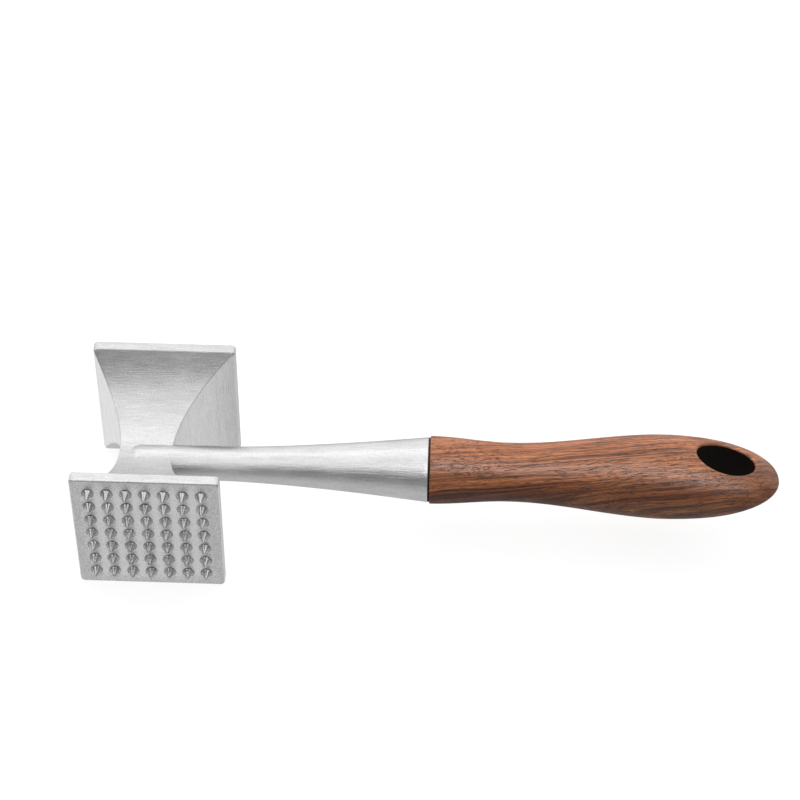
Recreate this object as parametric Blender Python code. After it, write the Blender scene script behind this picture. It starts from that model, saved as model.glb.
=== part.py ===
"""Meat mallet: a cast aluminium head and neck, and a walnut handle screwed onto it.

The head is two square striking plates joined by a scooped web. The front plate (-Y) carries a grid of
points, the rear plate (+Y) is plain. The neck runs from the web along +X and takes the handle.
The mallet lies on its side, +Z up, with the world origin at the middle of the underside of its box.
"""

import math

import bmesh
import bpy
from mathutils import Matrix

MM = 0.001

# Fits
GAP = 0.3 * MM  # between any two pieces that touch

# Head
PLATE_SIDE = 55.0 * MM  # the plates are square
HEAD_LENGTH = 75.0 * MM  # over the two plates' outer faces
PLATE_EDGE = 4.3 * MM  # thickness of a plate at its edge
PLATE_CORNER_RADIUS = 1.5 * MM
WEB_THICKNESS = 11.0 * MM  # at the waist, between the upper and lower scoops
WEB_TO_FREE_SIDE = 14.8 * MM  # from the head's middle to the waist's free side
WEB_TO_NECK_SIDE = 5.2 * MM  # from the head's middle to the waist's neck side

# Points on the front plate
POINT_ROWS = 7
POINT_COLUMNS = 7
POINT_PITCH = 6.95 * MM
POINT_BASE_DIAMETER = 4.0 * MM
POINT_TIP_DIAMETER = 1.2 * MM
POINT_HEIGHT = 3.5 * MM

# Neck
NECK_REACH = 103.1 * MM  # from the head's middle to the neck's end face
NECK_ROD_DIAMETER = 13.3 * MM  # where it crosses the web
NECK_END_DIAMETER = 24.9 * MM
NECK_END_CHAMFER = 0.4 * MM
NECK_ROD_BEHIND = 6.5 * MM  # from the head's middle to the centre of the rod's round end
NECK_TAPER_START = 25.0 * MM  # the rod widens from here to the end face
NECK_TAPER_POWER = 1.5

# Joint between the neck and the handle
WASHER_DIAMETER = 24.3 * MM
WASHER_THICKNESS = 0.6 * MM
STUD_DIAMETER = 8.0 * MM
STUD_IN_NECK = 26.0 * MM
STUD_PAST_INSERT = 4.0 * MM
STUD_CHAMFER = 0.8 * MM
INSERT_DIAMETER = 12.0 * MM
INSERT_LENGTH = 24.0 * MM
INSERT_SETBACK = 1.0 * MM  # from the handle's front face to the insert
DRILL_POINT = 59.0  # half angle of a drilled hole's end, in degrees

# Handle
HANDLE_LENGTH = 133.2 * MM
HANDLE_FRONT_DIAMETER = 26.0 * MM
HANDLE_FRONT_CHAMFER = 0.5 * MM
HANDLE_WAIST_AT = 30.5 * MM  # from the handle's front face
HANDLE_WAIST_DIAMETER = 22.6 * MM
HANDLE_BELLY_WIDTH = 33.8 * MM  # along Y
HANDLE_WIDEST_TO_TIP = 32.5 * MM
HANDLE_BELLY_THICKNESS = 31.8 * MM  # along Z
HANDLE_THICKEST_TO_TIP = 47.5 * MM
TIP_WIDTH_POWER = 2.2  # superellipse exponents of the rounded end
TIP_THICKNESS_POWER = 1.6
HANGING_HOLE_TO_TIP = 21.3 * MM
HANGING_HOLE_LENGTH = 22.8 * MM  # along X
HANGING_HOLE_WIDTH = 14.8 * MM  # along Y

# Fineness of the round surfaces
SCOOP_SIDES = 72
NECK_SIDES = 40
NECK_RINGS = 12
POINT_SIDES = 12
SMALL_SIDES = 28
HANDLE_SIDES = 40
HANDLE_RINGS = 9
TIP_RINGS = 13
OVERSHOOT = 2.0 * MM  # how far a cutter runs past the surface that it opens

# Places along X, from the head's middle
WASHER_START = NECK_REACH + GAP
HANDLE_START = WASHER_START + WASHER_THICKNESS + GAP
INSERT_START = HANDLE_START + INSERT_SETBACK
INSERT_END = INSERT_START + INSERT_LENGTH
STUD_START = NECK_REACH - STUD_IN_NECK
STUD_END = INSERT_END + STUD_PAST_INSERT
TIP = HANDLE_START + HANDLE_LENGTH

# From the head's middle to the middle of the underside of the whole box
TO_ORIGIN = (
    -(TIP - PLATE_SIDE / 2) / 2,
    POINT_HEIGHT / 2,
    PLATE_SIDE / 2,
)


def clear_scene():
    for old in list(bpy.data.objects):
        bpy.data.objects.remove(old, do_unlink=True)


def material(name, colour, roughness, metallic):
    made = bpy.data.materials.new(name)
    made.use_nodes = True
    shader = made.node_tree.nodes["Principled BSDF"]
    shader.inputs["Base Color"].default_value = (*colour, 1.0)
    shader.inputs["Roughness"].default_value = roughness
    shader.inputs["Metallic"].default_value = metallic
    made.diffuse_color = (*colour, 1.0)
    return made


def add_object(name, bm, frame, surface=None):
    """Turn a bmesh into an object in the head's frame, shaded smooth with sharp creases."""
    bmesh.ops.recalc_face_normals(bm, faces=bm.faces)
    mesh = bpy.data.meshes.new(name)
    bm.to_mesh(mesh)
    bm.free()
    mesh.shade_smooth()
    mesh.set_sharp_from_angle(angle=math.radians(30))
    made = bpy.data.objects.new(name, mesh)
    bpy.context.collection.objects.link(made)
    made.parent = frame
    if surface:
        mesh.materials.append(surface)
    return made


def cut(target, operation, tool):
    """Leave a live Boolean on the target and hide its tool."""
    tool.hide_render = True
    tool.display_type = "WIRE"
    boolean = target.modifiers.new(tool.name, "BOOLEAN")
    boolean.operation = operation
    boolean.solver = "EXACT"
    boolean.object = tool


def skin_rings(bm, rings):
    """Close a body over rings of equal size, with a flat or a single point at each end."""
    loops = [[bm.verts.new(point) for point in ring] for ring in rings]
    for near, far in zip(loops, loops[1:]):
        for k in range(max(len(near), len(far))):
            corners = [near[k - 1], near[k], far[k], far[k - 1]] if len(near) == len(far) else None
            if len(near) == 1:
                corners = [near[0], far[k], far[k - 1]]
            if len(far) == 1:
                corners = [near[k - 1], near[k], far[0]]
            bm.faces.new(corners)
    for end in (loops[0], loops[-1]):
        if len(end) > 1:
            bm.faces.new(end)


def oval_ring(x, half_width, half_thickness, sides):
    """A ring across X, or one point where its size is nothing."""
    if half_width == 0:
        return [(x, 0, 0)]
    turns = [2 * math.pi * k / sides for k in range(sides)]
    return [(x, half_width * math.cos(turn), half_thickness * math.sin(turn)) for turn in turns]


def turned(profile, sides):
    """A body turned about X from (x, radius) pairs."""
    bm = bmesh.new()
    skin_rings(bm, [oval_ring(x, radius, radius, sides) for x, radius in profile])
    return bm


def ring_prism(outline, start, end):
    """A body drawn along Z between two heights from an (x, y) outline."""
    bm = bmesh.new()
    skin_rings(bm, [[(x, y, z) for x, y in outline] for z in (start, end)])
    return bm


def half_size(start, end, share):
    """An S-shaped change from one size to another, level at both ends."""
    return start + (end - start) * (1 - math.cos(math.pi * share)) / 2


# Head


def rounded_square(side, radius, steps=4):
    outline = []
    for quarter in range(4):
        middle = math.pi / 4 + quarter * math.pi / 2
        centre = (side / 2 - radius) * math.sqrt(2)
        for k in range(steps + 1):
            turn = quarter * math.pi / 2 + k * math.pi / 2 / steps
            outline.append((
                centre * math.cos(middle) + radius * math.cos(turn),
                centre * math.sin(middle) + radius * math.sin(turn),
            ))
    return outline


def scoop(name, frame, waist, turn):
    """A round groove across the head, from plate edge to plate edge.

    It is drawn on the +X side of the head, reaching down to `waist`, and turned about Y into place.
    """
    half_gap = HEAD_LENGTH / 2 - PLATE_EDGE
    depth = PLATE_SIDE / 2 - waist
    radius = (half_gap ** 2 + depth ** 2) / (2 * depth)
    outline = []
    for k in range(SCOOP_SIDES):
        angle = 2 * math.pi * (k + 0.5) / SCOOP_SIDES
        outline.append((waist + radius - radius * math.cos(angle), radius * math.sin(angle)))
    reach = PLATE_SIDE / 2 + OVERSHOOT
    bm = ring_prism(outline, -reach, reach)
    bm.transform(Matrix.Rotation(turn, 4, "Y"))
    return add_object(name, bm, frame)


def neck(frame):
    rod = NECK_ROD_DIAMETER / 2
    end = NECK_END_DIAMETER / 2
    profile = []
    for k in range(7):
        turn = math.pi / 2 * k / 6
        profile.append((-NECK_ROD_BEHIND - rod * math.cos(turn), rod * math.sin(turn)))
    for k in range(NECK_RINGS + 1):
        share = k / NECK_RINGS
        x = NECK_TAPER_START + (NECK_REACH - NECK_END_CHAMFER - NECK_TAPER_START) * share
        profile.append((x, rod + (end - rod) * share ** NECK_TAPER_POWER))
    profile.append((NECK_REACH, end - NECK_END_CHAMFER))
    return add_object("neck_body", turned(profile, NECK_SIDES), frame)


def points(frame):
    """All the points as cones standing out of the front plate, sunk a little into it."""
    bm = bmesh.new()
    sunk = PLATE_EDGE / 4
    slope = (POINT_BASE_DIAMETER - POINT_TIP_DIAMETER) / 2 / POINT_HEIGHT
    for row in range(POINT_ROWS):
        for column in range(POINT_COLUMNS):
            across = (column - (POINT_COLUMNS - 1) / 2) * POINT_PITCH
            up = (row - (POINT_ROWS - 1) / 2) * POINT_PITCH
            place = Matrix.Translation((across, -HEAD_LENGTH / 2 + (sunk - POINT_HEIGHT) / 2, up))
            bmesh.ops.create_cone(
                bm,
                cap_ends=True,
                segments=POINT_SIDES,
                radius1=POINT_BASE_DIAMETER / 2 + sunk * slope,
                radius2=POINT_TIP_DIAMETER / 2,
                depth=POINT_HEIGHT + sunk,
                matrix=place @ Matrix.Rotation(math.pi / 2, 4, "X"),
            )
    return add_object("point_cones", bm, frame)


def neck_bore(frame):
    """The blind hole for the stud, drilled into the neck's end face."""
    radius = STUD_DIAMETER / 2 + GAP
    bottom = STUD_START - GAP
    profile = [
        (bottom - radius / math.tan(math.radians(DRILL_POINT)), 0),
        (bottom, radius),
        (NECK_REACH + OVERSHOOT, radius),
    ]
    return add_object("neck_bore", turned(profile, SMALL_SIDES), frame)


def head_casting(frame, aluminium):
    square = rounded_square(PLATE_SIDE, PLATE_CORNER_RADIUS)
    bm = ring_prism(square, -HEAD_LENGTH / 2, HEAD_LENGTH / 2)
    bm.transform(Matrix.Rotation(math.pi / 2, 4, "X"))
    casting = add_object("head_casting", bm, frame, aluminium)
    cut(casting, "DIFFERENCE", scoop("upper_scoop", frame, WEB_THICKNESS / 2, -math.pi / 2))
    cut(casting, "DIFFERENCE", scoop("lower_scoop", frame, WEB_THICKNESS / 2, math.pi / 2))
    cut(casting, "DIFFERENCE", scoop("free_side_scoop", frame, WEB_TO_FREE_SIDE, math.pi))
    cut(casting, "DIFFERENCE", scoop("neck_side_scoop", frame, WEB_TO_NECK_SIDE, 0))
    cut(casting, "UNION", neck(frame))
    cut(casting, "UNION", points(frame))
    cut(casting, "DIFFERENCE", neck_bore(frame))


# Joint


def joint_washer(frame, black):
    """A flat ring around the stud, between the neck's end face and the wood."""
    bm = turned(
        [
            (WASHER_START, WASHER_DIAMETER / 2),
            (WASHER_START + WASHER_THICKNESS, WASHER_DIAMETER / 2),
        ],
        NECK_SIDES,
    )
    washer = add_object("joint_washer", bm, frame, black)
    hole = [
        (WASHER_START - OVERSHOOT, STUD_DIAMETER / 2 + GAP),
        (WASHER_START + WASHER_THICKNESS + OVERSHOOT, STUD_DIAMETER / 2 + GAP),
    ]
    cut(washer, "DIFFERENCE", add_object("washer_hole", turned(hole, SMALL_SIDES), frame))


def handle_stud(frame, steel):
    radius = STUD_DIAMETER / 2
    profile = [
        (STUD_START, radius - STUD_CHAMFER),
        (STUD_START + STUD_CHAMFER, radius),
        (STUD_END - STUD_CHAMFER, radius),
        (STUD_END, radius - STUD_CHAMFER),
    ]
    add_object("handle_stud", turned(profile, SMALL_SIDES), frame, steel)


def threaded_insert(frame, brass):
    """The sleeve in the handle that the stud screws into."""
    outside = [(INSERT_START, INSERT_DIAMETER / 2), (INSERT_END, INSERT_DIAMETER / 2)]
    body = turned(outside, SMALL_SIDES)
    insert = add_object("threaded_insert", body, frame, brass)
    bore = STUD_DIAMETER / 2 + GAP
    hole = turned([(INSERT_START - OVERSHOOT, bore), (INSERT_END + OVERSHOOT, bore)], SMALL_SIDES)
    cut(insert, "DIFFERENCE", add_object("insert_bore", hole, frame))


# Handle


def rounded_end(size, along, power):
    """Half size of the handle's end, where `along` runs from 0 at its widest to 1 at the tip."""
    return size / 2 * max(0.0, 1 - along ** power) ** (1 / power)


def handle_half_size(at, belly, belly_to_tip, power):
    """Half size at a distance from the front face, in one of the two directions across."""
    front = HANDLE_FRONT_DIAMETER / 2
    waist = HANDLE_WAIST_DIAMETER / 2
    belly_at = HANDLE_LENGTH - belly_to_tip
    if at < HANDLE_WAIST_AT:
        return half_size(front, waist, at / HANDLE_WAIST_AT)
    if at < belly_at:
        return half_size(waist, belly / 2, (at - HANDLE_WAIST_AT) / (belly_at - HANDLE_WAIST_AT))
    return rounded_end(belly, (at - belly_at) / belly_to_tip, power)


def handle_ring(at):
    half_width = handle_half_size(at, HANDLE_BELLY_WIDTH, HANDLE_WIDEST_TO_TIP, TIP_WIDTH_POWER)
    half_thickness = handle_half_size(
        at, HANDLE_BELLY_THICKNESS, HANDLE_THICKEST_TO_TIP, TIP_THICKNESS_POWER
    )
    return oval_ring(HANDLE_START + at, half_width, half_thickness, HANDLE_SIDES)


def handle_stations():
    """Distances from the front face, closer together towards the tip."""
    belly_at = HANDLE_LENGTH - HANDLE_THICKEST_TO_TIP
    front = [HANDLE_FRONT_CHAMFER + (HANDLE_WAIST_AT - HANDLE_FRONT_CHAMFER) * k / 4 for k in range(4)]
    middle = [
        HANDLE_WAIST_AT + (belly_at - HANDLE_WAIST_AT) * k / HANDLE_RINGS for k in range(HANDLE_RINGS)
    ]
    tip = [
        HANDLE_LENGTH - HANDLE_THICKEST_TO_TIP * (1 - k / TIP_RINGS) ** 2 for k in range(TIP_RINGS + 1)
    ]
    return front + middle + tip


def handle_bore(frame):
    """The stepped blind hole for the insert and, past it, the stud's end."""
    wide = INSERT_DIAMETER / 2 + GAP
    narrow = STUD_DIAMETER / 2 + GAP
    step = INSERT_END + GAP
    bottom = STUD_END + GAP
    profile = [
        (HANDLE_START - OVERSHOOT, wide),
        (step, wide),
        (step, narrow),
        (bottom, narrow),
        (bottom + narrow / math.tan(math.radians(DRILL_POINT)), 0),
    ]
    return add_object("handle_bore", turned(profile, SMALL_SIDES), frame)


def hanging_hole(frame):
    """The oval hole through the end of the handle, along Z."""
    centre = TIP - HANGING_HOLE_TO_TIP
    outline = []
    for k in range(HANDLE_SIDES):
        turn = 2 * math.pi * (k + 0.5) / HANDLE_SIDES
        across = HANGING_HOLE_WIDTH / 2 * math.sin(turn)
        outline.append((centre + HANGING_HOLE_LENGTH / 2 * math.cos(turn), across))
    reach = HANDLE_BELLY_THICKNESS / 2 + OVERSHOOT
    return add_object("hanging_hole", ring_prism(outline, -reach, reach), frame)


def handle(frame, walnut):
    front = HANDLE_FRONT_DIAMETER / 2 - HANDLE_FRONT_CHAMFER
    rings = [oval_ring(HANDLE_START, front, front, HANDLE_SIDES)]
    rings += [handle_ring(at) for at in handle_stations()]
    bm = bmesh.new()
    skin_rings(bm, rings)
    grip = add_object("handle", bm, frame, walnut)
    cut(grip, "DIFFERENCE", handle_bore(frame))
    cut(grip, "DIFFERENCE", hanging_hole(frame))


def main():
    clear_scene()
    frame = bpy.data.objects.new("mallet_frame", None)
    frame.location = TO_ORIGIN
    bpy.context.collection.objects.link(frame)

    head_casting(frame, material("aluminium", (0.74, 0.74, 0.75), 0.38, 1.0))
    joint_washer(frame, material("black_fibre", (0.02, 0.02, 0.02), 0.7, 0.0))
    handle_stud(frame, material("steel", (0.52, 0.52, 0.54), 0.35, 1.0))
    threaded_insert(frame, material("brass", (0.72, 0.52, 0.22), 0.35, 1.0))
    handle(frame, material("walnut", (0.30, 0.13, 0.06), 0.5, 0.0))


main()
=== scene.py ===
"""Looks of the meat mallet: brushed cast head with turned points, black washer, oiled walnut handle."""

import math

import bmesh
import bpy
from mathutils import Matrix, Vector


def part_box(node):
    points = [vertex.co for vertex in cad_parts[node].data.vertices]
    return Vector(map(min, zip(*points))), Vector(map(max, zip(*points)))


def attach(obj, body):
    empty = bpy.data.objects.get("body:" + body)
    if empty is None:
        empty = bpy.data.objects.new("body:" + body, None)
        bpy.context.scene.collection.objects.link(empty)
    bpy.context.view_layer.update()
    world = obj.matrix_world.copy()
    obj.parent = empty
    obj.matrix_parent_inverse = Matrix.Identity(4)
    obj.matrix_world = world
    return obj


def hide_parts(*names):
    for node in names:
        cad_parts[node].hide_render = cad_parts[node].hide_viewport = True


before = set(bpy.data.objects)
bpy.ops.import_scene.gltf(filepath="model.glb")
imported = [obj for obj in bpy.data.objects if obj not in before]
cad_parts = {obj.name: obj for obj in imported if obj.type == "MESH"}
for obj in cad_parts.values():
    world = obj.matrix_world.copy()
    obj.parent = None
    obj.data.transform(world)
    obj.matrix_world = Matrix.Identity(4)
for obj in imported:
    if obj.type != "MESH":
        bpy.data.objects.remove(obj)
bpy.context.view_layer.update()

MM = 0.001

# Places and sizes that the frame gives
head_low, head_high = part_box("head_casting")
washer_low, washer_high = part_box("joint_washer")
handle_low, handle_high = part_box("handle")
stud_low, stud_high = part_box("handle_stud")
insert_low, insert_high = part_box("threaded_insert")

# Sizes that the boxes don't give
POINT_HEIGHT = 3.5 * MM
PLATE_EDGE = 4.3 * MM
PLATE_CORNER = 1.6 * MM
EDGE_ROUND = 0.6 * MM  # the broken edges of the plates' outer faces
CREASE_ROUND = 0.35 * MM  # where two scoops meet
WEB_THICKNESS = 11.0 * MM
WEB_TO_FREE_SIDE = 14.8 * MM
WEB_TO_NECK_SIDE = 5.2 * MM
POINTS_A_SIDE = 7
POINT_PITCH = 6.95 * MM
STRIP_SHINE = 0.28  # painted highlight: how much brighter the face's colour is made midway between two columns of points
STRIP_MEAN = 0.55  # of that, what the face's even tone already holds
NECK_ROD = 6.65 * MM  # radius where it crosses the web
NECK_ROD_BEHIND = 6.5 * MM
NECK_TAPER_START = 25.0 * MM
NECK_TAPER_POWER = 1.5
GAP = 0.3 * MM
TIGHT = 0.28 * MM  # the joint is drawn closed up by this much at each side of the washer
WASHER_PROUD = 0.2 * MM
DRILL_POINT = math.radians(31)  # slope of a drilled hole's end
SHARP = math.radians(22)  # creases steeper than this stay crisp

SIDE = head_high.z - head_low.z
HEAD_LENGTH = head_high.y - head_low.y - POINT_HEIGHT
HALF_GAP = HEAD_LENGTH / 2 - PLATE_EDGE
MIDDLE = Vector((head_low.x + SIDE / 2, head_high.y - HEAD_LENGTH / 2, head_low.z + SIDE / 2))
NECK_REACH = head_high.x - MIDDLE.x + TIGHT
NECK_END = 12.45 * MM  # radius at the joint
STUD_RADIUS = (stud_high.z - stud_low.z) / 2
INSERT_RADIUS = (insert_high.z - insert_low.z) / 2


# Meshes


class Shape:
    """Vertices in metres from the head's middle, faces with a material number and UVs in millimetres."""

    def __init__(self):
        self.points, self.faces, self.kinds, self.uvs = [], [], [], []

    def ring(self, points):
        first = len(self.points)
        self.points.extend(points)
        return list(range(first, first + len(points)))

    def face(self, corners, kind=0, uv=None):
        self.faces.append(corners)
        self.kinds.append(kind)
        self.uvs.append(uv or [(0.0, 0.0)] * len(corners))

    def bridge(self, near, far, kind=0, uv_near=None, uv_far=None):
        """Quads between two closed rings of one count. The UV lists have one value more, for the seam."""
        count = len(near)
        for k in range(count):
            m = (k + 1) % count
            uv = None
            if uv_near:
                uv = [uv_near[k], uv_near[k + 1], uv_far[k + 1], uv_far[k]]
            self.face([near[k], near[m], far[m], far[k]], kind, uv)

    def fan(self, ring, centre, kind=0):
        tip = self.ring([centre])[0]
        for k in range(len(ring)):
            self.face([ring[k], ring[(k + 1) % len(ring)], tip], kind)

    def build(self, name, materials, place=MIDDLE):
        mesh = bpy.data.meshes.new(name)
        mesh.from_pydata([tuple(Vector(p) + place) for p in self.points], [], self.faces)
        layer = mesh.uv_layers.new(name="brush")
        flat = [value for uv in self.uvs for pair in uv for value in pair]
        layer.data.foreach_set("uv", flat)
        for surface in materials:
            mesh.materials.append(surface)
        mesh.polygons.foreach_set("material_index", self.kinds)
        outward = bmesh.new()
        outward.from_mesh(mesh)
        bmesh.ops.recalc_face_normals(outward, faces=outward.faces)
        outward.to_mesh(mesh)
        outward.free()
        mesh.shade_smooth()
        mesh.set_sharp_from_angle(angle=SHARP)
        made = bpy.data.objects.new(name, mesh)
        bpy.context.scene.collection.objects.link(made)
        return made


def turned(profile, sides, kind=0, closed=False):
    """A body turned about X from (x, radius) pairs: from axis to axis, or a closed outline."""
    shape = Shape()
    widest = max(radius for x, radius in profile)
    if closed:
        profile = profile + profile[:1]
    rings, lengths = [], [0.0]
    for k, (x, radius) in enumerate(profile):
        if k:
            lengths.append(lengths[-1] + math.dist(profile[k - 1], profile[k]) / MM)
        if radius <= 0:
            rings.append(None)
        elif closed and k == len(profile) - 1:
            rings.append(rings[0])
        else:
            turns = [2 * math.pi * s / sides for s in range(sides)]
            rings.append(shape.ring([(x, radius * math.sin(t), radius * math.cos(t)) for t in turns]))
    for k in range(1, len(profile)):
        near, far = rings[k - 1], rings[k]
        if near is None:
            shape.fan(far, (profile[k - 1][0], 0, 0), kind)
        elif far is None:
            shape.fan(near, (profile[k][0], 0, 0), kind)
        else:
            uvs = []
            for end in (k - 1, k):
                around = [s * 2 * math.pi * widest / sides / MM for s in range(sides + 1)]
                uvs.append([(lengths[end], value) for value in around])
            shape.bridge(near, far, kind, uvs[0], uvs[1])
    return shape


def quarter(centre_x, centre_r, radius, start, end, steps):
    """Points of an arc in the (x, radius) plane, with angles in degrees."""
    found = []
    for k in range(steps + 1):
        angle = math.radians(start + (end - start) * k / steps)
        found.append((centre_x + radius * math.cos(angle), centre_r + radius * math.sin(angle)))
    return found


# Head

SIDE_STEPS = 56  # 8 for each point along a plate's side
CORNER_STEPS = 6
CELL_STEPS = SIDE_STEPS // POINTS_A_SIDE


def soft_min(a, b, width):
    overlap = max(0.0, 1 - abs(a - b) / width)
    return min(a, b) - width / 4 * overlap ** 2


def scooped(waist, y):
    """How far the metal reaches from the head's middle, at a distance y from the middle plane."""
    depth = SIDE / 2 - waist
    radius = (HALF_GAP ** 2 + depth ** 2) / (2 * depth)
    y = abs(y)
    reach = waist + radius - math.sqrt(max(0.0, radius ** 2 - y ** 2))
    reach = soft_min(reach, SIDE / 2, 0.9 * MM) if y < radius else SIDE / 2
    over = y - (HEAD_LENGTH / 2 - EDGE_ROUND)
    if over > 0:
        reach -= EDGE_ROUND - math.sqrt(max(0.0, EDGE_ROUND ** 2 - over ** 2))
    return reach


def head_stations():
    """Distances from the middle plane, closer where the outline bends."""
    inner = HALF_GAP - 1.2 * MM
    half = [inner * k / 30 for k in range(31)]
    half += [inner + 2.0 * MM * k / 14 for k in range(1, 15)]
    flat = HEAD_LENGTH / 2 - EDGE_ROUND
    half += [half[-1] + (flat - half[-1]) * k / 3 for k in range(1, 4)]
    half += [flat + EDGE_ROUND * math.sin(math.radians(angle)) for angle in (15, 30, 45, 60, 75, 90)]
    return [-y for y in reversed(half[1:])] + half


def head_ring(y):
    free, neck, flat = (scooped(w, y) for w in (WEB_TO_FREE_SIDE, WEB_TO_NECK_SIDE, WEB_THICKNESS / 2))
    at_plate = min(1.0, max(0.0, (abs(y) - HALF_GAP + 0.9 * MM) / (1.0 * MM)))
    corner = CREASE_ROUND + (PLATE_CORNER - CREASE_ROUND) * at_plate ** 2
    rectangle = [(neck, flat), (-free, flat), (-free, -flat), (neck, -flat)]
    points, uvs = [], []
    along = 0.0
    for k in range(4):
        (x0, z0), (x1, z1) = rectangle[k - 1], rectangle[k]
        length = math.hypot(x1 - x0, z1 - z0)
        dx, dz = (x1 - x0) / length, (z1 - z0) / length
        for s in range(SIDE_STEPS):
            d = corner + (length - 2 * corner) * s / SIDE_STEPS
            points.append((x0 + dx * d, y, z0 + dz * d))
            uvs.append(along + (d - length / 2) / MM)
        cx, cz = x1 - dx * corner - dz * corner, z1 - dz * corner + dx * corner
        for s in range(CORNER_STEPS):
            turn = math.pi / 2 * s / CORNER_STEPS
            out_x = dz * math.cos(turn) + dx * math.sin(turn)
            out_z = -dx * math.cos(turn) + dz * math.sin(turn)
            points.append((cx + corner * out_x, y, cz + corner * out_z))
            uvs.append(along + (length / 2 - corner + corner * turn) / MM)
        along += 90.0
    uvs.append(along + uvs[0])
    return points, uvs


def point_rings(wobble):
    """(radius, height, material) of the rings of one point and of the groove that its cutter leaves."""
    height = POINT_HEIGHT - 0.02 * MM - wobble
    rings = [(2.75 * MM, 0.0, FACE), (2.42 * MM, 0.0, FACE), (2.34 * MM, -0.06 * MM, POINT)]
    rings += [(2.22 * MM, -0.22 * MM, POINT), (2.06 * MM, -0.26 * MM, POINT), (1.96 * MM, -0.10 * MM, POINT)]
    base, tip, corner = 1.93 * MM, 0.58 * MM, 0.16 * MM
    flank = height - corner
    for k in range(6):
        share = k / 5
        rings.append((base + (tip - base) * share, 0.06 * MM + (flank - 0.06 * MM) * share, POINT))
    for angle in (30, 60, 90):
        bend = math.radians(angle)
        rings.append((tip - corner * (1 - math.cos(bend)), flank + corner * math.sin(bend), POINT))
    return rings, height


def spiked_face(shape, border, face_y):
    """The front plate's face: a square of cells with a point in each, joined to the plate's border."""
    half = POINTS_A_SIDE * POINT_PITCH / 2
    step = POINT_PITCH / CELL_STEPS
    lattice = {}

    def corner_of(i, j):
        if (i, j) not in lattice:
            lattice[i, j] = shape.ring([(-half + i * step, face_y, -half + j * step)])[0]
        return lattice[i, j]

    def uv_of(index):
        return shape.points[index][2] / MM, shape.points[index][0] / MM

    for column in range(POINTS_A_SIDE):
        for row in range(POINTS_A_SIDE):
            i, j, n = column * CELL_STEPS, row * CELL_STEPS, CELL_STEPS
            near = [corner_of(i + k, j) for k in range(n)]
            near += [corner_of(i + n, j + k) for k in range(n)]
            near += [corner_of(i + n - k, j + n) for k in range(n)]
            near += [corner_of(i, j + n - k) for k in range(n)]
            centre_x, centre_z = -half + (i + n / 2) * step, -half + (j + n / 2) * step
            wobble = 0.10 * MM * (0.5 + 0.5 * math.sin(12.9 * column + 78.2 * row))
            rings, height = point_rings(wobble)
            turns = [math.radians(-135 + 360 * k / (4 * n)) for k in range(4 * n)]
            for radius, up, kind in rings:
                far = shape.ring([
                    (centre_x + radius * math.cos(t), face_y - up, centre_z + radius * math.sin(t))
                    for t in turns
                ])
                for k in range(4 * n):
                    m = (k + 1) % (4 * n)
                    quad = [near[k], near[m], far[m], far[k]]
                    shape.face(quad, kind, [uv_of(v) for v in quad])
                near = far
            shape.fan(near, (centre_x, face_y - height, centre_z), POINT)
    edge = SIDE_STEPS
    square = [corner_of(edge, k) for k in range(edge)] + [corner_of(edge - k, edge) for k in range(edge)]
    square += [corner_of(0, edge - k) for k in range(edge)] + [corner_of(k, 0) for k in range(edge)]
    count = len(border)
    for side in range(4):
        first = side * (SIDE_STEPS + CORNER_STEPS)
        for k in range(SIDE_STEPS):
            a, b = square[side * edge + k], square[(side * edge + k + 1) % len(square)]
            quad = [border[first + k], border[(first + k + 1) % count], b, a]
            shape.face(quad, FACE, [uv_of(v) for v in quad])
        b = square[((side + 1) * edge) % len(square)]
        for k in range(CORNER_STEPS):
            at = first + SIDE_STEPS + k
            three = [border[at], border[(at + 1) % count], b]
            shape.face(three, FACE, [uv_of(v) for v in three])


def head_body(materials):
    """Plates and web as one skin over rounded rectangles, with the spiked face in front."""
    shape = Shape()
    rings, uvs = [], []
    length = 0.0
    previous = None
    for y in head_stations():
        points, around = head_ring(y)
        if previous is not None:
            length += math.dist(points[SIDE_STEPS], previous) / MM
        previous = points[SIDE_STEPS]
        rings.append(shape.ring(points))
        uvs.append([(value, length) for value in around])
    for k in range(1, len(rings)):
        shape.bridge(rings[k - 1], rings[k], BRUSHED, uvs[k - 1], uvs[k])
    inset = 0.3 * MM

    def inner(ring):
        limit = SIDE / 2 - EDGE_ROUND - inset
        found = []
        for index in ring:
            x, y, z = shape.points[index]
            scale = limit / (SIDE / 2 - EDGE_ROUND)
            found.append((x * scale, y, z * scale))
        return shape.ring(found)

    front, back = inner(rings[0]), inner(rings[-1])
    shape.bridge(front, rings[0], FACE)
    shape.bridge(rings[-1], back, PLAIN_FACE)
    spiked_face(shape, front, -HEAD_LENGTH / 2)
    back_uv = [(shape.points[v][0] / MM, shape.points[v][2] / MM) for v in back]
    shape.face(list(reversed(back)), PLAIN_FACE, list(reversed(back_uv)))
    return shape.build("head", materials)


def neck_profile():
    profile = quarter(-NECK_ROD_BEHIND, 0, NECK_ROD, 180, 90, 10)
    profile[0] = (profile[0][0], 0.0)
    straight = NECK_TAPER_START + NECK_ROD_BEHIND
    profile += [(-NECK_ROD_BEHIND + straight * k / 8, NECK_ROD) for k in range(1, 8)]
    edge = 0.3 * MM
    for k in range(41):
        share = k / 40
        x = NECK_TAPER_START + (NECK_REACH - edge - NECK_TAPER_START) * share
        profile.append((x, NECK_ROD + (NECK_END - NECK_ROD) * share ** NECK_TAPER_POWER))
    profile += quarter(NECK_REACH - edge, NECK_END - edge, edge, 90, 0, 5)[1:]
    bore = STUD_RADIUS + GAP
    bottom = stud_low.x - MIDDLE.x - GAP
    profile += [(NECK_REACH, bore + 0.6 * MM), (NECK_REACH - 0.6 * MM, bore), (bottom, bore)]
    profile.append((bottom - bore * math.tan(DRILL_POINT), 0.0))
    return profile


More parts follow.
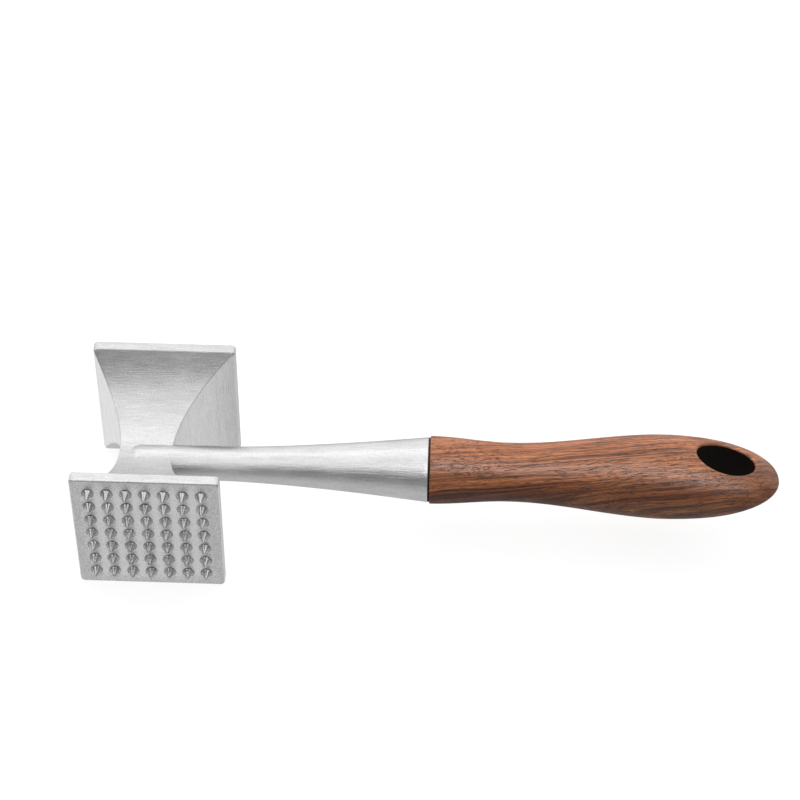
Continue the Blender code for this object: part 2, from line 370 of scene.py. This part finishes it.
def head(materials):
    body = head_body(materials)
    neck = turned(neck_profile(), 96, NECK).build("neck", materials)
    join = body.modifiers.new("neck", "BOOLEAN")
    join.operation = "UNION"
    join.solver = "EXACT"
    join.material_mode = "INDEX"
    join.object = neck
    apply_modifiers(body)
    bpy.data.objects.remove(neck)
    body.data.set_sharp_from_angle(angle=SHARP)
    return body


def apply_modifiers(piece):
    evaluated = piece.evaluated_get(bpy.context.evaluated_depsgraph_get())
    finished = bpy.data.meshes.new_from_object(evaluated)
    piece.modifiers.clear()
    piece.data = finished


# Materials

BRUSHED, FACE, PLAIN_FACE, NECK, POINT = range(5)
WOOD, HOLE_WALL = range(2)
GRAIN_TILT = (-30, 3, -6)  # of the walnut's layers against the handle's axis, in degrees
SHADE_AND_HEARTWOOD_TOWARDS = (0.12, -0.60, -0.80)  # the lower front side of the blank, darkened as painted shade and partly as a heartwood figure
SHADE_AND_HEARTWOOD_FROM = -0.0130  # the painted shade and heartwood start here, in metres along that direction
SHADE_AND_HEARTWOOD_EDGE = 60.0  # how fast it sets in, per metre


class Nodes:
    """Short calls for one material's node tree."""

    def __init__(self, name):
        self.material = bpy.data.materials.new(name)
        self.material.use_nodes = True
        self.tree = self.material.node_tree
        self.shader = self.tree.nodes["Principled BSDF"]

    def add(self, kind, **values):
        node = self.tree.nodes.new(kind)
        for key, value in values.items():
            setattr(node, key, value)
        return node

    def link(self, source, target):
        self.tree.links.new(source, target)

    def set(self, **values):
        for key, value in values.items():
            self.shader.inputs[key.replace("_", " ")].default_value = value

    def scaled(self, source, scale, offset=(0, 0, 0)):
        node = self.add("ShaderNodeMapping")
        node.inputs["Scale"].default_value = scale
        node.inputs["Location"].default_value = offset
        self.link(source, node.inputs["Vector"])
        return node.outputs["Vector"]

    def turned(self, source, degrees):
        node = self.add("ShaderNodeMapping")
        node.inputs["Rotation"].default_value = tuple(math.radians(angle) for angle in degrees)
        self.link(source, node.inputs["Vector"])
        return node.outputs["Vector"]

    def noise(self, vector, scale=1.0, detail=2.0, roughness=0.5, distortion=0.0):
        node = self.add("ShaderNodeTexNoise")
        node.inputs["Scale"].default_value = scale
        node.inputs["Detail"].default_value = detail
        node.inputs["Roughness"].default_value = roughness
        node.inputs["Distortion"].default_value = distortion
        self.link(vector, node.inputs["Vector"])
        return node.outputs["Fac"]

    def ramp(self, factor, stops):
        node = self.add("ShaderNodeValToRGB")
        elements = node.color_ramp.elements
        while len(elements) < len(stops):
            elements.new(0.5)
        for element, (place, colour) in zip(elements, stops):
            element.position = place
            colour = (colour,) * 3 if isinstance(colour, float) else colour
            element.color = (*colour, 1.0)
        self.link(factor, node.inputs["Fac"])
        return node.outputs["Color"]

    def spread(self, value, low, high, from_low=0.0, from_high=1.0):
        node = self.add("ShaderNodeMapRange")
        node.inputs["From Min"].default_value = from_low
        node.inputs["From Max"].default_value = from_high
        node.inputs["To Min"].default_value = low
        node.inputs["To Max"].default_value = high
        self.link(value, node.inputs["Value"])
        return node.outputs["Result"]

    def math(self, operation, a, b=None):
        node = self.add("ShaderNodeMath", operation=operation)
        for k, value in enumerate((a, b)):
            if value is None:
                continue
            if isinstance(value, (int, float)):
                node.inputs[k].default_value = value
            else:
                self.link(value, node.inputs[k])
        return node.outputs["Value"]

    def mix(self, factor, a, b, blend="MIX"):
        node = self.add("ShaderNodeMix", data_type="RGBA", blend_type=blend)
        for socket, value in (("Factor", factor), ("A", a), ("B", b)):
            spot = next(s for s in node.inputs if s.name == socket and s.enabled)
            if isinstance(value, (int, float)):
                spot.default_value = value
            elif isinstance(value, tuple):
                spot.default_value = (*value, 1.0)
            else:
                self.link(value, spot)
        return next(s for s in node.outputs if s.enabled)

    def bump(self, height, distance, strength=1.0, normal=None):
        node = self.add("ShaderNodeBump")
        node.inputs["Distance"].default_value = distance
        node.inputs["Strength"].default_value = strength
        self.link(height, node.inputs["Height"])
        if normal:
            self.link(normal, node.inputs["Normal"])
        return node.outputs["Normal"]


def painted_strip_highlights(nodes, objects):
    """Painted highlight: the strips between the columns of points made brighter in the colour, standing in
    for reflected light: the tone's factor.
    """
    place = nodes.add("ShaderNodeSeparateXYZ")
    nodes.link(objects, place.inputs[0])
    column = nodes.math("DIVIDE", nodes.math("SUBTRACT", place.outputs["X"], MIDDLE.x), POINT_PITCH)
    strip = nodes.math("COSINE", nodes.math("MULTIPLY", column, 2 * math.pi))
    strip = nodes.math("SUBTRACT", 0.5, nodes.math("MULTIPLY", strip, 0.5))
    sideways = nodes.math("ABSOLUTE", column)
    upwards = nodes.math("ABSOLUTE", nodes.math("SUBTRACT", place.outputs["Z"], MIDDLE.z))
    reach = POINTS_A_SIDE * POINT_PITCH / 2
    inside = nodes.ramp(nodes.math("DIVIDE", sideways, POINTS_A_SIDE), [(0.42, 1.0), (0.50, 0.0)])
    within = nodes.ramp(nodes.math("MULTIPLY", upwards, 0.5 / reach), [(0.40, 1.0), (0.56, 0.0)])
    strip = nodes.math("MULTIPLY", nodes.math("MULTIPLY", strip, inside), within)
    return nodes.math("ADD", nodes.math("MULTIPLY", strip, STRIP_SHINE), 1.0 - STRIP_SHINE * STRIP_MEAN)


def aluminium(name, tone, roughness, along, across, lines=0.09, speckle=0.09, bump=0.00010, strips=False):
    """Brushed aluminium, its lines along U of the brush map.

    `along` and `across` are the lines' frequencies per millimetre, `lines` and `speckle` are shares of
    the tone, and `strips` paints highlight strips between the columns of points, for the face that carries
    them.
    """
    nodes = Nodes(name)
    uv = nodes.add("ShaderNodeUVMap", uv_map="brush").outputs["UV"]
    objects = nodes.add("ShaderNodeTexCoord").outputs["Object"]
    millimetres = nodes.scaled(objects, (1000, 1000, 1000))
    fine = nodes.noise(nodes.scaled(uv, (along, across, 1)), 1.0, 3.0, 0.6)
    broad = nodes.noise(nodes.scaled(uv, (along * 0.5, across * 0.2, 1), (7, 3, 0)), 1.0, 2.0, 0.5)
    grain = nodes.noise(millimetres, 1.7, 2.0, 0.65)
    cloud = nodes.noise(millimetres, 0.12, 3.0, 0.5)
    value = nodes.spread(fine, -lines, lines, 0.3, 0.7)
    value = nodes.math("ADD", value, nodes.spread(broad, -0.5 * lines, 0.5 * lines, 0.3, 0.7))
    value = nodes.math("ADD", value, nodes.spread(grain, -speckle, speckle, 0.3, 0.7))
    value = nodes.math("ADD", value, nodes.spread(cloud, -0.03, 0.03, 0.3, 0.7))
    value = nodes.math("MULTIPLY", nodes.math("ADD", value, 1.0), tone)
    # painted highlight: brighter strips between the columns of points on the face
    if strips:
        value = nodes.math("MULTIPLY", value, painted_strip_highlights(nodes, objects))
    value = nodes.math("MINIMUM", value, 1.0)
    colour = nodes.add("ShaderNodeCombineColor")
    for channel in ("Red", "Green", "Blue"):
        nodes.link(value, colour.inputs[channel])
    nodes.link(colour.outputs["Color"], nodes.shader.inputs["Base Color"])
    rough = nodes.math("ADD", nodes.spread(fine, -0.05, 0.05, 0.3, 0.7), roughness)
    rough = nodes.math("ADD", rough, nodes.spread(cloud, -0.03, 0.03, 0.3, 0.7))
    nodes.link(rough, nodes.shader.inputs["Roughness"])
    normal = nodes.bump(grain, bump, 0.7)
    nodes.link(nodes.bump(fine, bump, 1.0, normal), nodes.shader.inputs["Normal"])
    nodes.set(Metallic=1.0)
    return nodes.material


def black_fibre():
    nodes = Nodes("washer_black")
    objects = nodes.add("ShaderNodeTexCoord").outputs["Object"]
    fibres = nodes.noise(nodes.scaled(objects, (1000, 1000, 1000)), 1.6, 3.0)
    colour = nodes.ramp(fibres, [(0.3, (0.010, 0.010, 0.010)), (0.7, (0.028, 0.027, 0.026))])
    nodes.link(colour, nodes.shader.inputs["Base Color"])
    nodes.link(nodes.spread(fibres, 0.55, 0.8), nodes.shader.inputs["Roughness"])
    nodes.link(nodes.bump(fibres, 0.00005), nodes.shader.inputs["Normal"])
    return nodes.material


def walnut():
    """Layers of brown that lean against the handle's axis, with hair lines, pores and a lower front side
    darkened as painted shade, partly a heartwood figure.
    """
    nodes = Nodes("walnut_oiled")
    objects = nodes.add("ShaderNodeTexCoord").outputs["Object"]
    sway = nodes.noise(nodes.scaled(objects, (9, 30, 30)), 1.0, 2.0)
    bent = nodes.add("ShaderNodeVectorMath", operation="ADD")
    shift = nodes.add("ShaderNodeCombineXYZ")
    nodes.link(nodes.spread(sway, -0.004, 0.004), shift.inputs["Y"])
    nodes.link(nodes.spread(sway, 0.004, -0.004), shift.inputs["Z"])
    nodes.link(nodes.turned(objects, GRAIN_TILT), bent.inputs[0])
    nodes.link(shift.outputs["Vector"], bent.inputs[1])
    place = bent.outputs["Vector"]

    bands = nodes.noise(nodes.scaled(place, (4, 210, 60)), 1.0, 3.0, 0.55, 0.2)
    streaks = nodes.noise(nodes.scaled(place, (7, 1050, 110)), 1.0, 4.0, 0.7)
    hairs = nodes.noise(nodes.scaled(place, (24, 2700, 700), (0.1, 0.4, 0.2)), 1.0, 3.0, 0.6)
    pores = nodes.noise(nodes.scaled(place, (150, 4300, 3000), (0.3, 0.1, 0.7)), 1.0, 2.0, 0.5)
    fibre = nodes.noise(nodes.scaled(place, (450, 5200, 5200)), 1.0, 2.0, 0.6)

    base = nodes.ramp(
        bands,
        [
            (0.30, (0.180, 0.051, 0.019)),
            (0.40, (0.350, 0.105, 0.037)),
            (0.50, (0.660, 0.226, 0.080)),
            (0.58, (0.450, 0.142, 0.050)),
            (0.70, (0.760, 0.304, 0.122)),
        ],
    )
    # painted shade: the colour darkens towards the lower front side, its edge broken by the grain bands,
    # partly a heartwood figure
    across = nodes.add("ShaderNodeVectorMath", operation="DOT_PRODUCT")
    nodes.link(objects, across.inputs[0])
    across.inputs[1].default_value = SHADE_AND_HEARTWOOD_TOWARDS
    depth_in = nodes.math("SUBTRACT", across.outputs["Value"], SHADE_AND_HEARTWOOD_FROM)
    depth_in = nodes.math("MULTIPLY", depth_in, SHADE_AND_HEARTWOOD_EDGE)
    depth_in = nodes.math("ADD", depth_in, nodes.math("MULTIPLY", bands, 0.8))
    shade_and_heartwood = nodes.ramp(depth_in, [(0.32, 1.0), (0.46, 0.52), (0.60, 0.62), (0.95, 0.64)])
    base = nodes.mix(1.0, base, shade_and_heartwood, "MULTIPLY")
    base = nodes.mix(0.9, base, nodes.ramp(streaks, [(0.36, 0.36), (0.48, 0.92), (0.62, 1.50)]), "MULTIPLY")
    base = nodes.mix(0.8, base, nodes.ramp(hairs, [(0.36, 0.38), (0.45, 1.0), (0.66, 1.24)]), "MULTIPLY")
    pore_mask = nodes.ramp(pores, [(0.36, 1.0), (0.41, 0.0)])
    base = nodes.mix(nodes.math("MULTIPLY", pore_mask, 0.78), base, (0.024, 0.009, 0.005))
    base = nodes.mix(0.5, base, nodes.ramp(fibre, [(0.32, 0.60), (0.68, 1.35)]), "MULTIPLY")
    nodes.link(base, nodes.shader.inputs["Base Color"])
    rough = nodes.math("MULTIPLY", pore_mask, 0.15)
    rough = nodes.math("ADD", nodes.spread(streaks, 0.30, 0.42, 0.3, 0.7), rough)
    nodes.link(rough, nodes.shader.inputs["Roughness"])
    depth = nodes.math("SUBTRACT", nodes.math("MULTIPLY", fibre, 0.5), pore_mask)
    nodes.link(nodes.bump(depth, 0.00016, 0.9), nodes.shader.inputs["Normal"])
    nodes.set(IOR=1.50, Specular_IOR_Level=0.6)
    return nodes.material


def hole_black():
    # a near-black wall for the hanging hole
    nodes = Nodes("hole_wall_near_black")
    objects = nodes.add("ShaderNodeTexCoord").outputs["Object"]
    grain = nodes.noise(nodes.scaled(objects, (400, 1500, 1500)), 1.0, 3.0)
    colour = nodes.ramp(grain, [(0.3, (0.007, 0.004, 0.002)), (0.7, (0.018, 0.009, 0.005))])
    nodes.link(colour, nodes.shader.inputs["Base Color"])
    nodes.link(nodes.spread(grain, 0.6, 0.8), nodes.shader.inputs["Roughness"])
    nodes.link(nodes.bump(grain, 0.00008), nodes.shader.inputs["Normal"])
    nodes.set(Specular_IOR_Level=0.15)
    return nodes.material


# Handle

HANDLE_START = handle_low.x - MIDDLE.x - TIGHT
HANDLE_LENGTH = handle_high.x - handle_low.x + TIGHT
BELLY_WIDTH = handle_high.y - handle_low.y
BELLY_THICKNESS = handle_high.z - handle_low.z
HANDLE_FRONT = 13.0 * MM  # radius
HANDLE_WAIST = 11.3 * MM
WAIST_AT = 30.5 * MM
WIDEST_TO_TIP = 32.5 * MM
THICKEST_TO_TIP = 47.5 * MM
TIP_WIDTH_POWER = 2.2
TIP_THICKNESS_POWER = 1.6
HOLE_TO_TIP = 21.3 * MM
HOLE_HALF_LENGTH = 11.4 * MM
HOLE_HALF_WIDTH = 7.4 * MM
RIM_ROUND = 1.0 * MM
FRONT_ROUND = 0.5 * MM
HALF_TURN_STEPS = 64  # quads over the upper half of the handle
SIDE_LINE_STEPS = 40
RIM_STEPS = 6
SKIN_STEPS = 24
WALL_STEPS = 10
PLAIN_STEPS = 90
BEFORE_HOLE = 6.0 * MM  # from the end of the whole rings to the hole


def half_size(at, belly, belly_to_tip, power):
    belly_at = HANDLE_LENGTH - belly_to_tip
    if at < WAIST_AT:
        return HANDLE_FRONT + (HANDLE_WAIST - HANDLE_FRONT) * (1 - math.cos(math.pi * at / WAIST_AT)) / 2
    if at < belly_at:
        share = (at - WAIST_AT) / (belly_at - WAIST_AT)
        return HANDLE_WAIST + (belly / 2 - HANDLE_WAIST) * (1 - math.cos(math.pi * share)) / 2
    along = (at - belly_at) / belly_to_tip
    return belly / 2 * max(0.0, 1 - along ** power) ** (1 / power)


def half_width(at):
    return half_size(at, BELLY_WIDTH, WIDEST_TO_TIP, TIP_WIDTH_POWER)


def half_thickness(at):
    return half_size(at, BELLY_THICKNESS, THICKEST_TO_TIP, TIP_THICKNESS_POWER)


def skin_point(at, turn):
    """A point of the handle's skin, by its distance from the front face and its turn from +Y."""
    return HANDLE_START + at, half_width(at) * math.cos(turn), half_thickness(at) * math.sin(turn)


def skin_height(x, y):
    """Height of the upper skin over the handle's middle plane."""
    at = min(HANDLE_LENGTH, max(0.0, x - HANDLE_START))
    width = half_width(at)
    if width <= abs(y):
        return 0.0
    return half_thickness(at) * math.sqrt(1 - (y / width) ** 2)


def handle(materials):
    """Rings up to the hole, then a skin that runs radially from the hole's rim to the widest line."""
    shape = Shape()
    steps = HALF_TURN_STEPS
    start_at = HANDLE_LENGTH - HOLE_TO_TIP - HOLE_HALF_LENGTH - BEFORE_HOLE

    # front face and plain stretch, as whole rings
    bore = INSERT_RADIUS + GAP
    bore_end = insert_high.x - MIDDLE.x + GAP
    stud_bore = STUD_RADIUS + GAP
    stud_end = stud_high.x - MIDDLE.x + GAP
    inner = [
        (stud_end, stud_bore), (bore_end, stud_bore), (bore_end, bore), (HANDLE_START, bore),
        (HANDLE_START, HANDLE_FRONT - FRONT_ROUND - 0.4 * MM),
    ]
    around = [math.pi * k / steps for k in range(2 * steps)]
    rings = [shape.ring([(x, r * math.cos(t), r * math.sin(t)) for t in around]) for x, r in inner]
    shape.fan(rings[0], (stud_end + stud_bore * math.tan(DRILL_POINT), 0, 0), WOOD)
    for angle in (0, 22, 45, 68):
        turn = math.radians(angle)
        x = HANDLE_START + FRONT_ROUND * (1 - math.cos(turn))
        r = HANDLE_FRONT - FRONT_ROUND * (1 - math.sin(turn))
        rings.append(shape.ring([(x, r * math.cos(t), r * math.sin(t)) for t in around]))
    for k in range(PLAIN_STEPS + 1):
        at = FRONT_ROUND + (start_at - FRONT_ROUND) * k / PLAIN_STEPS
        rings.append(shape.ring([skin_point(at, t) for t in around]))
    for near, far in zip(rings, rings[1:]):
        shape.bridge(far, near, WOOD)

    # the end: an upper and a lower skin that run from the hole's rim to the widest line
    border = rings[-1]
    hole_x = HANDLE_START + HANDLE_LENGTH - HOLE_TO_TIP
    side = []
    for k in range(1, SIDE_LINE_STEPS):
        at = start_at + (HANDLE_LENGTH - start_at) * (1 - (1 - k / SIDE_LINE_STEPS) ** 1.8)
        side.append((HANDLE_START + at, half_width(at)))
    near_side = shape.ring([(x, y, 0.0) for x, y in side])
    far_side = shape.ring([(x, -y, 0.0) for x, y in side])
    tip = shape.ring([(HANDLE_START + HANDLE_LENGTH, 0.0, 0.0)])
    rims = []
    for up in (1, -1):
        arc = [border[(up * k) % (2 * steps)] for k in range(steps, -1, -1)]
        outline = arc + near_side + tip + far_side[::-1]
        places = [shape.points[v] for v in outline]
        turns = [math.atan2(y / HOLE_HALF_WIDTH, (x - hole_x) / HOLE_HALF_LENGTH) for x, y, z in places]
        loops = []
        for k in range(RIM_STEPS + 1):
            bend = math.pi / 2 * k / RIM_STEPS
            away, drop = RIM_ROUND * (1 - math.cos(bend)), RIM_ROUND * (1 - math.sin(bend))
            oval = [
                (hole_x + (HOLE_HALF_LENGTH + away) * math.cos(t), (HOLE_HALF_WIDTH + away) * math.sin(t))
                for t in turns
            ]
            loops.append(shape.ring([(x, y, up * (skin_height(x, y) - drop)) for x, y in oval]))
        for k in range(1, SKIN_STEPS):
            share = k / SKIN_STEPS
            ring = []
            for number, ((x0, y0), (x1, y1, z1)) in enumerate(zip(oval, places)):
                part = math.sin(share * math.pi / 2)
                if number <= steps:
                    part = (share + part) / 2
                x, y = x0 + (x1 - x0) * part, y0 + (y1 - y0) * part
                ring.append((x, y, up * skin_height(x, y)))
            loops.append(shape.ring(ring))
        loops.append(outline)
        for near, far in zip(loops, loops[1:]):
            shape.bridge(near, far, WOOD)
        rims.append(loops[0])

    # the hole's wall
    upper, lower = rims
    wall = [upper]
    for k in range(1, WALL_STEPS):
        share = k / WALL_STEPS
        ring = []
        for a, b in zip(upper, lower):
            (x, y, z), below = shape.points[a], shape.points[b][2]
            ring.append((x, y, z + (below - z) * share))
        wall.append(shape.ring(ring))
    wall.append(lower)
    for near, far in zip(wall, wall[1:]):
        shape.bridge(near, far, HOLE_WALL)
    return shape.build("grip", materials)


# Joint


def washer(material):
    bore = STUD_RADIUS + GAP
    radius = (washer_high.z - washer_low.z) / 2 + WASHER_PROUD
    start, end = washer_low.x - MIDDLE.x, washer_high.x - MIDDLE.x
    edge = 0.2 * MM
    outline = quarter(end - edge, radius - edge, edge, 0, 90, 4)
    outline += quarter(start + edge, radius - edge, edge, 90, 180, 4)
    broken = 0.1 * MM
    outline += [(start, bore + broken), (start + broken, bore), (end - broken, bore), (end, bore + broken)]
    return turned(outline, 128, closed=True).build("fibre_washer", [material])


def thread_depth(turn_share, flat=0.15):
    """Depth of a thread's groove, from 0 at the crest to 1 at the root, around one pitch."""
    height = abs(2 * (turn_share % 1.0) - 1)
    return min(1.0, max(0.0, (height - flat) / (1 - 2 * flat)))


def threaded_rod(start, end, radius, pitch, depth, chamfer, sides=36, steps=10, bore=None):
    """A rod or sleeve with a right-hand thread cut into its outside."""
    shape = Shape()
    count = max(2, round((end - start) / pitch * steps))
    rings = []
    for k in range(count + 1):
        x = start + (end - start) * k / count
        limit = radius - max(0.0, chamfer - min(x - start, end - x))
        ring = []
        for s in range(sides):
            turn = 2 * math.pi * s / sides
            r = min(limit, radius - depth * thread_depth((x - start) / pitch - s / sides))
            ring.append((x, r * math.sin(turn), r * math.cos(turn)))
        rings.append(shape.ring(ring))
    for near, far in zip(rings, rings[1:]):
        shape.bridge(near, far)
    if bore is None:
        shape.fan(rings[0], (start, 0, 0))
        shape.fan(rings[-1], (end, 0, 0))
        return shape
    turns = [2 * math.pi * s / sides for s in range(sides)]
    inner = []
    for k in range(count + 1):
        x = start + (end - start) * k / count
        inner.append(shape.ring([(x, bore * math.sin(t), bore * math.cos(t)) for t in turns]))
    for near, far in zip(inner, inner[1:]):
        shape.bridge(far, near)
    shape.bridge(inner[0], rings[0])
    shape.bridge(rings[-1], inner[-1])
    return shape


def stud(material):
    shape = threaded_rod(
        stud_low.x - MIDDLE.x, stud_high.x - MIDDLE.x, STUD_RADIUS, 1.25 * MM, 0.7 * MM, 0.8 * MM
    )
    return shape.build("stud", [material])


def insert(material):
    shape = threaded_rod(
        insert_low.x - MIDDLE.x, insert_high.x - MIDDLE.x, INSERT_RADIUS, 2.5 * MM, 0.9 * MM, 0.6 * MM,
        bore=STUD_RADIUS + GAP,
    )
    return shape.build("insert", [material])


def turned_metal(name, colour, roughness):
    nodes = Nodes(name)
    objects = nodes.add("ShaderNodeTexCoord").outputs["Object"]
    rings = nodes.noise(nodes.scaled(objects, (6000, 300, 300)), 1.0, 2.0)
    stain = nodes.noise(nodes.scaled(objects, (150, 150, 150)), 1.0, 3.0)
    darker = tuple(0.6 * channel for channel in colour)
    tone = nodes.mix(nodes.spread(stain, 0.0, 0.5, 0.3, 0.8), colour, darker)
    nodes.link(tone, nodes.shader.inputs["Base Color"])
    nodes.link(nodes.spread(stain, roughness - 0.05, roughness + 0.12), nodes.shader.inputs["Roughness"])
    nodes.link(nodes.bump(rings, 0.00002), nodes.shader.inputs["Normal"])
    nodes.set(Metallic=1.0)
    return nodes.material


# Stage

FLOOR_REACH = 6.0
FLOOR_LEVEL = -0.0005
FLOOR_GLOW = 0.86
BELOW, FRONT_ABOVE, BACK_ABOVE = 0.18, 0.23, 1.05  # the room's brightness
LENS, SENSOR = 101.56, 36.0
CAMERA_RIGHT = Vector((0.99944, 0.03222, 0.00917))
CAMERA_BACK = Vector((0.01678, -0.71850, 0.69532))
CAMERA_FROM_HEAD = Vector((0.106354, -0.603260, 0.620508))  # from the head's middle


def floor():
    """A pale floor that only the camera sees, so that the room's light reaches the mallet from below."""
    mesh = bpy.data.meshes.new("floor")
    signs = ((-1, -1), (1, -1), (1, 1), (-1, 1))
    corners = [(x * FLOOR_REACH, y * FLOOR_REACH, FLOOR_LEVEL) for x, y in signs]
    mesh.from_pydata(corners, [], [(0, 1, 2, 3)])
    nodes = Nodes("floor_white")
    objects = nodes.add("ShaderNodeTexCoord").outputs["Object"]
    soft = nodes.noise(nodes.scaled(objects, (3, 3, 3)), 1.0, 2.0)
    nodes.link(nodes.ramp(soft, [(0.3, 0.27), (0.7, 0.29)]), nodes.shader.inputs["Base Color"])
    nodes.set(Roughness=0.9, Emission_Color=(1.0, 1.0, 1.0, 1.0), Emission_Strength=FLOOR_GLOW)
    mesh.materials.append(nodes.material)
    made = bpy.data.objects.new("floor", mesh)
    made.visible_diffuse = made.visible_glossy = made.visible_shadow = False
    bpy.context.scene.collection.objects.link(made)


def softbox(name, centre, aim, width, depth, power, only=None, gloss_only=False):
    """A rectangular area light, in watts. `only` is the one piece that it lights, if it isn't for all."""
    lamp = bpy.data.lights.new(name, "AREA")
    lamp.shape = "RECTANGLE"
    lamp.size, lamp.size_y = width, depth
    lamp.energy = power
    made = bpy.data.objects.new(name, lamp)
    made.location = centre
    made.rotation_euler = (Vector(aim) - Vector(centre)).to_track_quat("-Z", "Y").to_euler()
    made.visible_camera = False
    made.visible_diffuse = not gloss_only
    bpy.context.scene.collection.objects.link(made)
    if only:
        lit = bpy.data.collections.new(name + "_lights")
        lit.objects.link(only)
        made.light_linking.receiver_collection = lit


def room():
    """Soft light from all round: bright above and behind the mallet, dim in front of it and below."""
    world = bpy.data.worlds.new("room")
    world.use_nodes = True
    tree = world.node_tree
    axes = tree.nodes.new("ShaderNodeSeparateXYZ")
    tree.links.new(tree.nodes.new("ShaderNodeTexCoord").outputs["Generated"], axes.inputs[0])

    def step(source, low, high, start, end):
        node = tree.nodes.new("ShaderNodeMapRange")
        node.interpolation_type = "SMOOTHSTEP"
        for name, value in (("From Min", low), ("From Max", high)):
            node.inputs[name].default_value = value
        for name, value in (("To Min", start), ("To Max", end)):
            if isinstance(value, float):
                node.inputs[name].default_value = value
            else:
                tree.links.new(value, node.inputs[name])
        tree.links.new(source, node.inputs["Value"])
        return node.outputs["Result"]

    above = step(axes.outputs["Y"], -0.10, 0.60, FRONT_ABOVE, BACK_ABOVE)
    both = step(axes.outputs["Z"], -0.30, -0.05, BELOW, above)
    tree.links.new(both, tree.nodes["Background"].inputs["Strength"])
    tree.nodes["Background"].inputs["Color"].default_value = (1.0, 1.0, 1.0, 1.0)
    return world


def studio(casting, grip):
    """A big overhead light for all, then fills for the head alone and for the handle alone."""
    floor()
    middle = (0.0, 0.0, 0.03)
    softbox("overhead", (0.0, 0.10, 1.1), (0.0, 0.10, 0.0), 2.2, 1.2, 6.0)
    softbox("front_fill", (0.0, -0.82, 1.13), middle, 2.0, 0.62, 2.4, casting)
    softbox("left_fill", (-1.0, -0.45, 1.05), middle, 0.5, 0.5, 2.2, casting)
    softbox("neck_fill", (0.03, -0.22, 0.25), (-0.01, 0.0, 0.03), 0.12, 0.12, 0.11, casting)
    softbox("bounce", (-0.1, 0.0, -0.5), middle, 3.0, 3.0, 11.0, casting)
    softbox("bounce_left", (-1.0, 0.15, -0.9), middle, 1.6, 1.6, 4.4, casting)
    softbox("bounce_right", (0.8, 0.15, -0.9), middle, 1.6, 1.6, 2.8, casting)
    softbox("overhead_grip", (0.1, -0.12, 1.1), (0.1, -0.12, 0.0), 2.2, 0.9, 4.4, grip)
    softbox("bounce_grip", (0.1, 0.0, -0.5), middle, 3.0, 3.0, 4.4, grip)
    softbox("strip", (0.1, -0.63, 1.12), middle, 2.0, 0.30, 17.0, grip, gloss_only=True)
    bpy.context.scene.world = room()
    bpy.context.scene.view_settings.view_transform = "Standard"


def camera():
    lens = bpy.data.cameras.new("camera")
    lens.lens, lens.sensor_width = LENS, SENSOR
    made = bpy.data.objects.new("camera", lens)
    right = CAMERA_RIGHT.normalized()
    back = CAMERA_BACK.normalized()
    up = back.cross(right).normalized()
    right = up.cross(back)
    turn = Matrix((right, up, back)).transposed().to_4x4()
    made.matrix_world = Matrix.Translation(CAMERA_FROM_HEAD + MIDDLE) @ turn
    bpy.context.scene.collection.objects.link(made)
    bpy.context.scene.camera = made


def main():
    camera()
    brushed = aluminium("aluminium_brushed", 0.70, 0.38, 0.14, 1.9)
    # painted light: the face's tone of 0.90 stands above the casting's 0.70 so that the face shows brighter,
    # as if more lit
    face = aluminium("aluminium_face", 0.90, 0.40, 0.30, 1.6, lines=0.08, speckle=0.22, strips=True)
    plain_face = aluminium("aluminium_plain_face", 0.70, 0.38, 0.10, 2.6)
    neck = aluminium("aluminium_neck", 0.73, 0.34, 0.10, 1.6)
    point = aluminium("aluminium_turned", 0.60, 0.13, 0.3, 2.2, lines=0.30, speckle=0.03, bump=0.00003)
    pieces = [
        (head([brushed, face, plain_face, neck, point]), "head_casting", "cast_aluminium"),
        (washer(black_fibre()), "joint_washer", "black_fibre"),
        (stud(turned_metal("zinc_plated_steel", (0.52, 0.52, 0.54), 0.3)), "handle_stud", "steel"),
        (insert(turned_metal("turned_brass", (0.72, 0.52, 0.22), 0.3)), "threaded_insert", "brass"),
        (handle([walnut(), hole_black()]), "handle", "walnut"),
    ]
    studio(pieces[0][0], pieces[-1][0])
    for piece, node, slot in pieces:
        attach(piece, "root")
        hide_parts(node)


main()
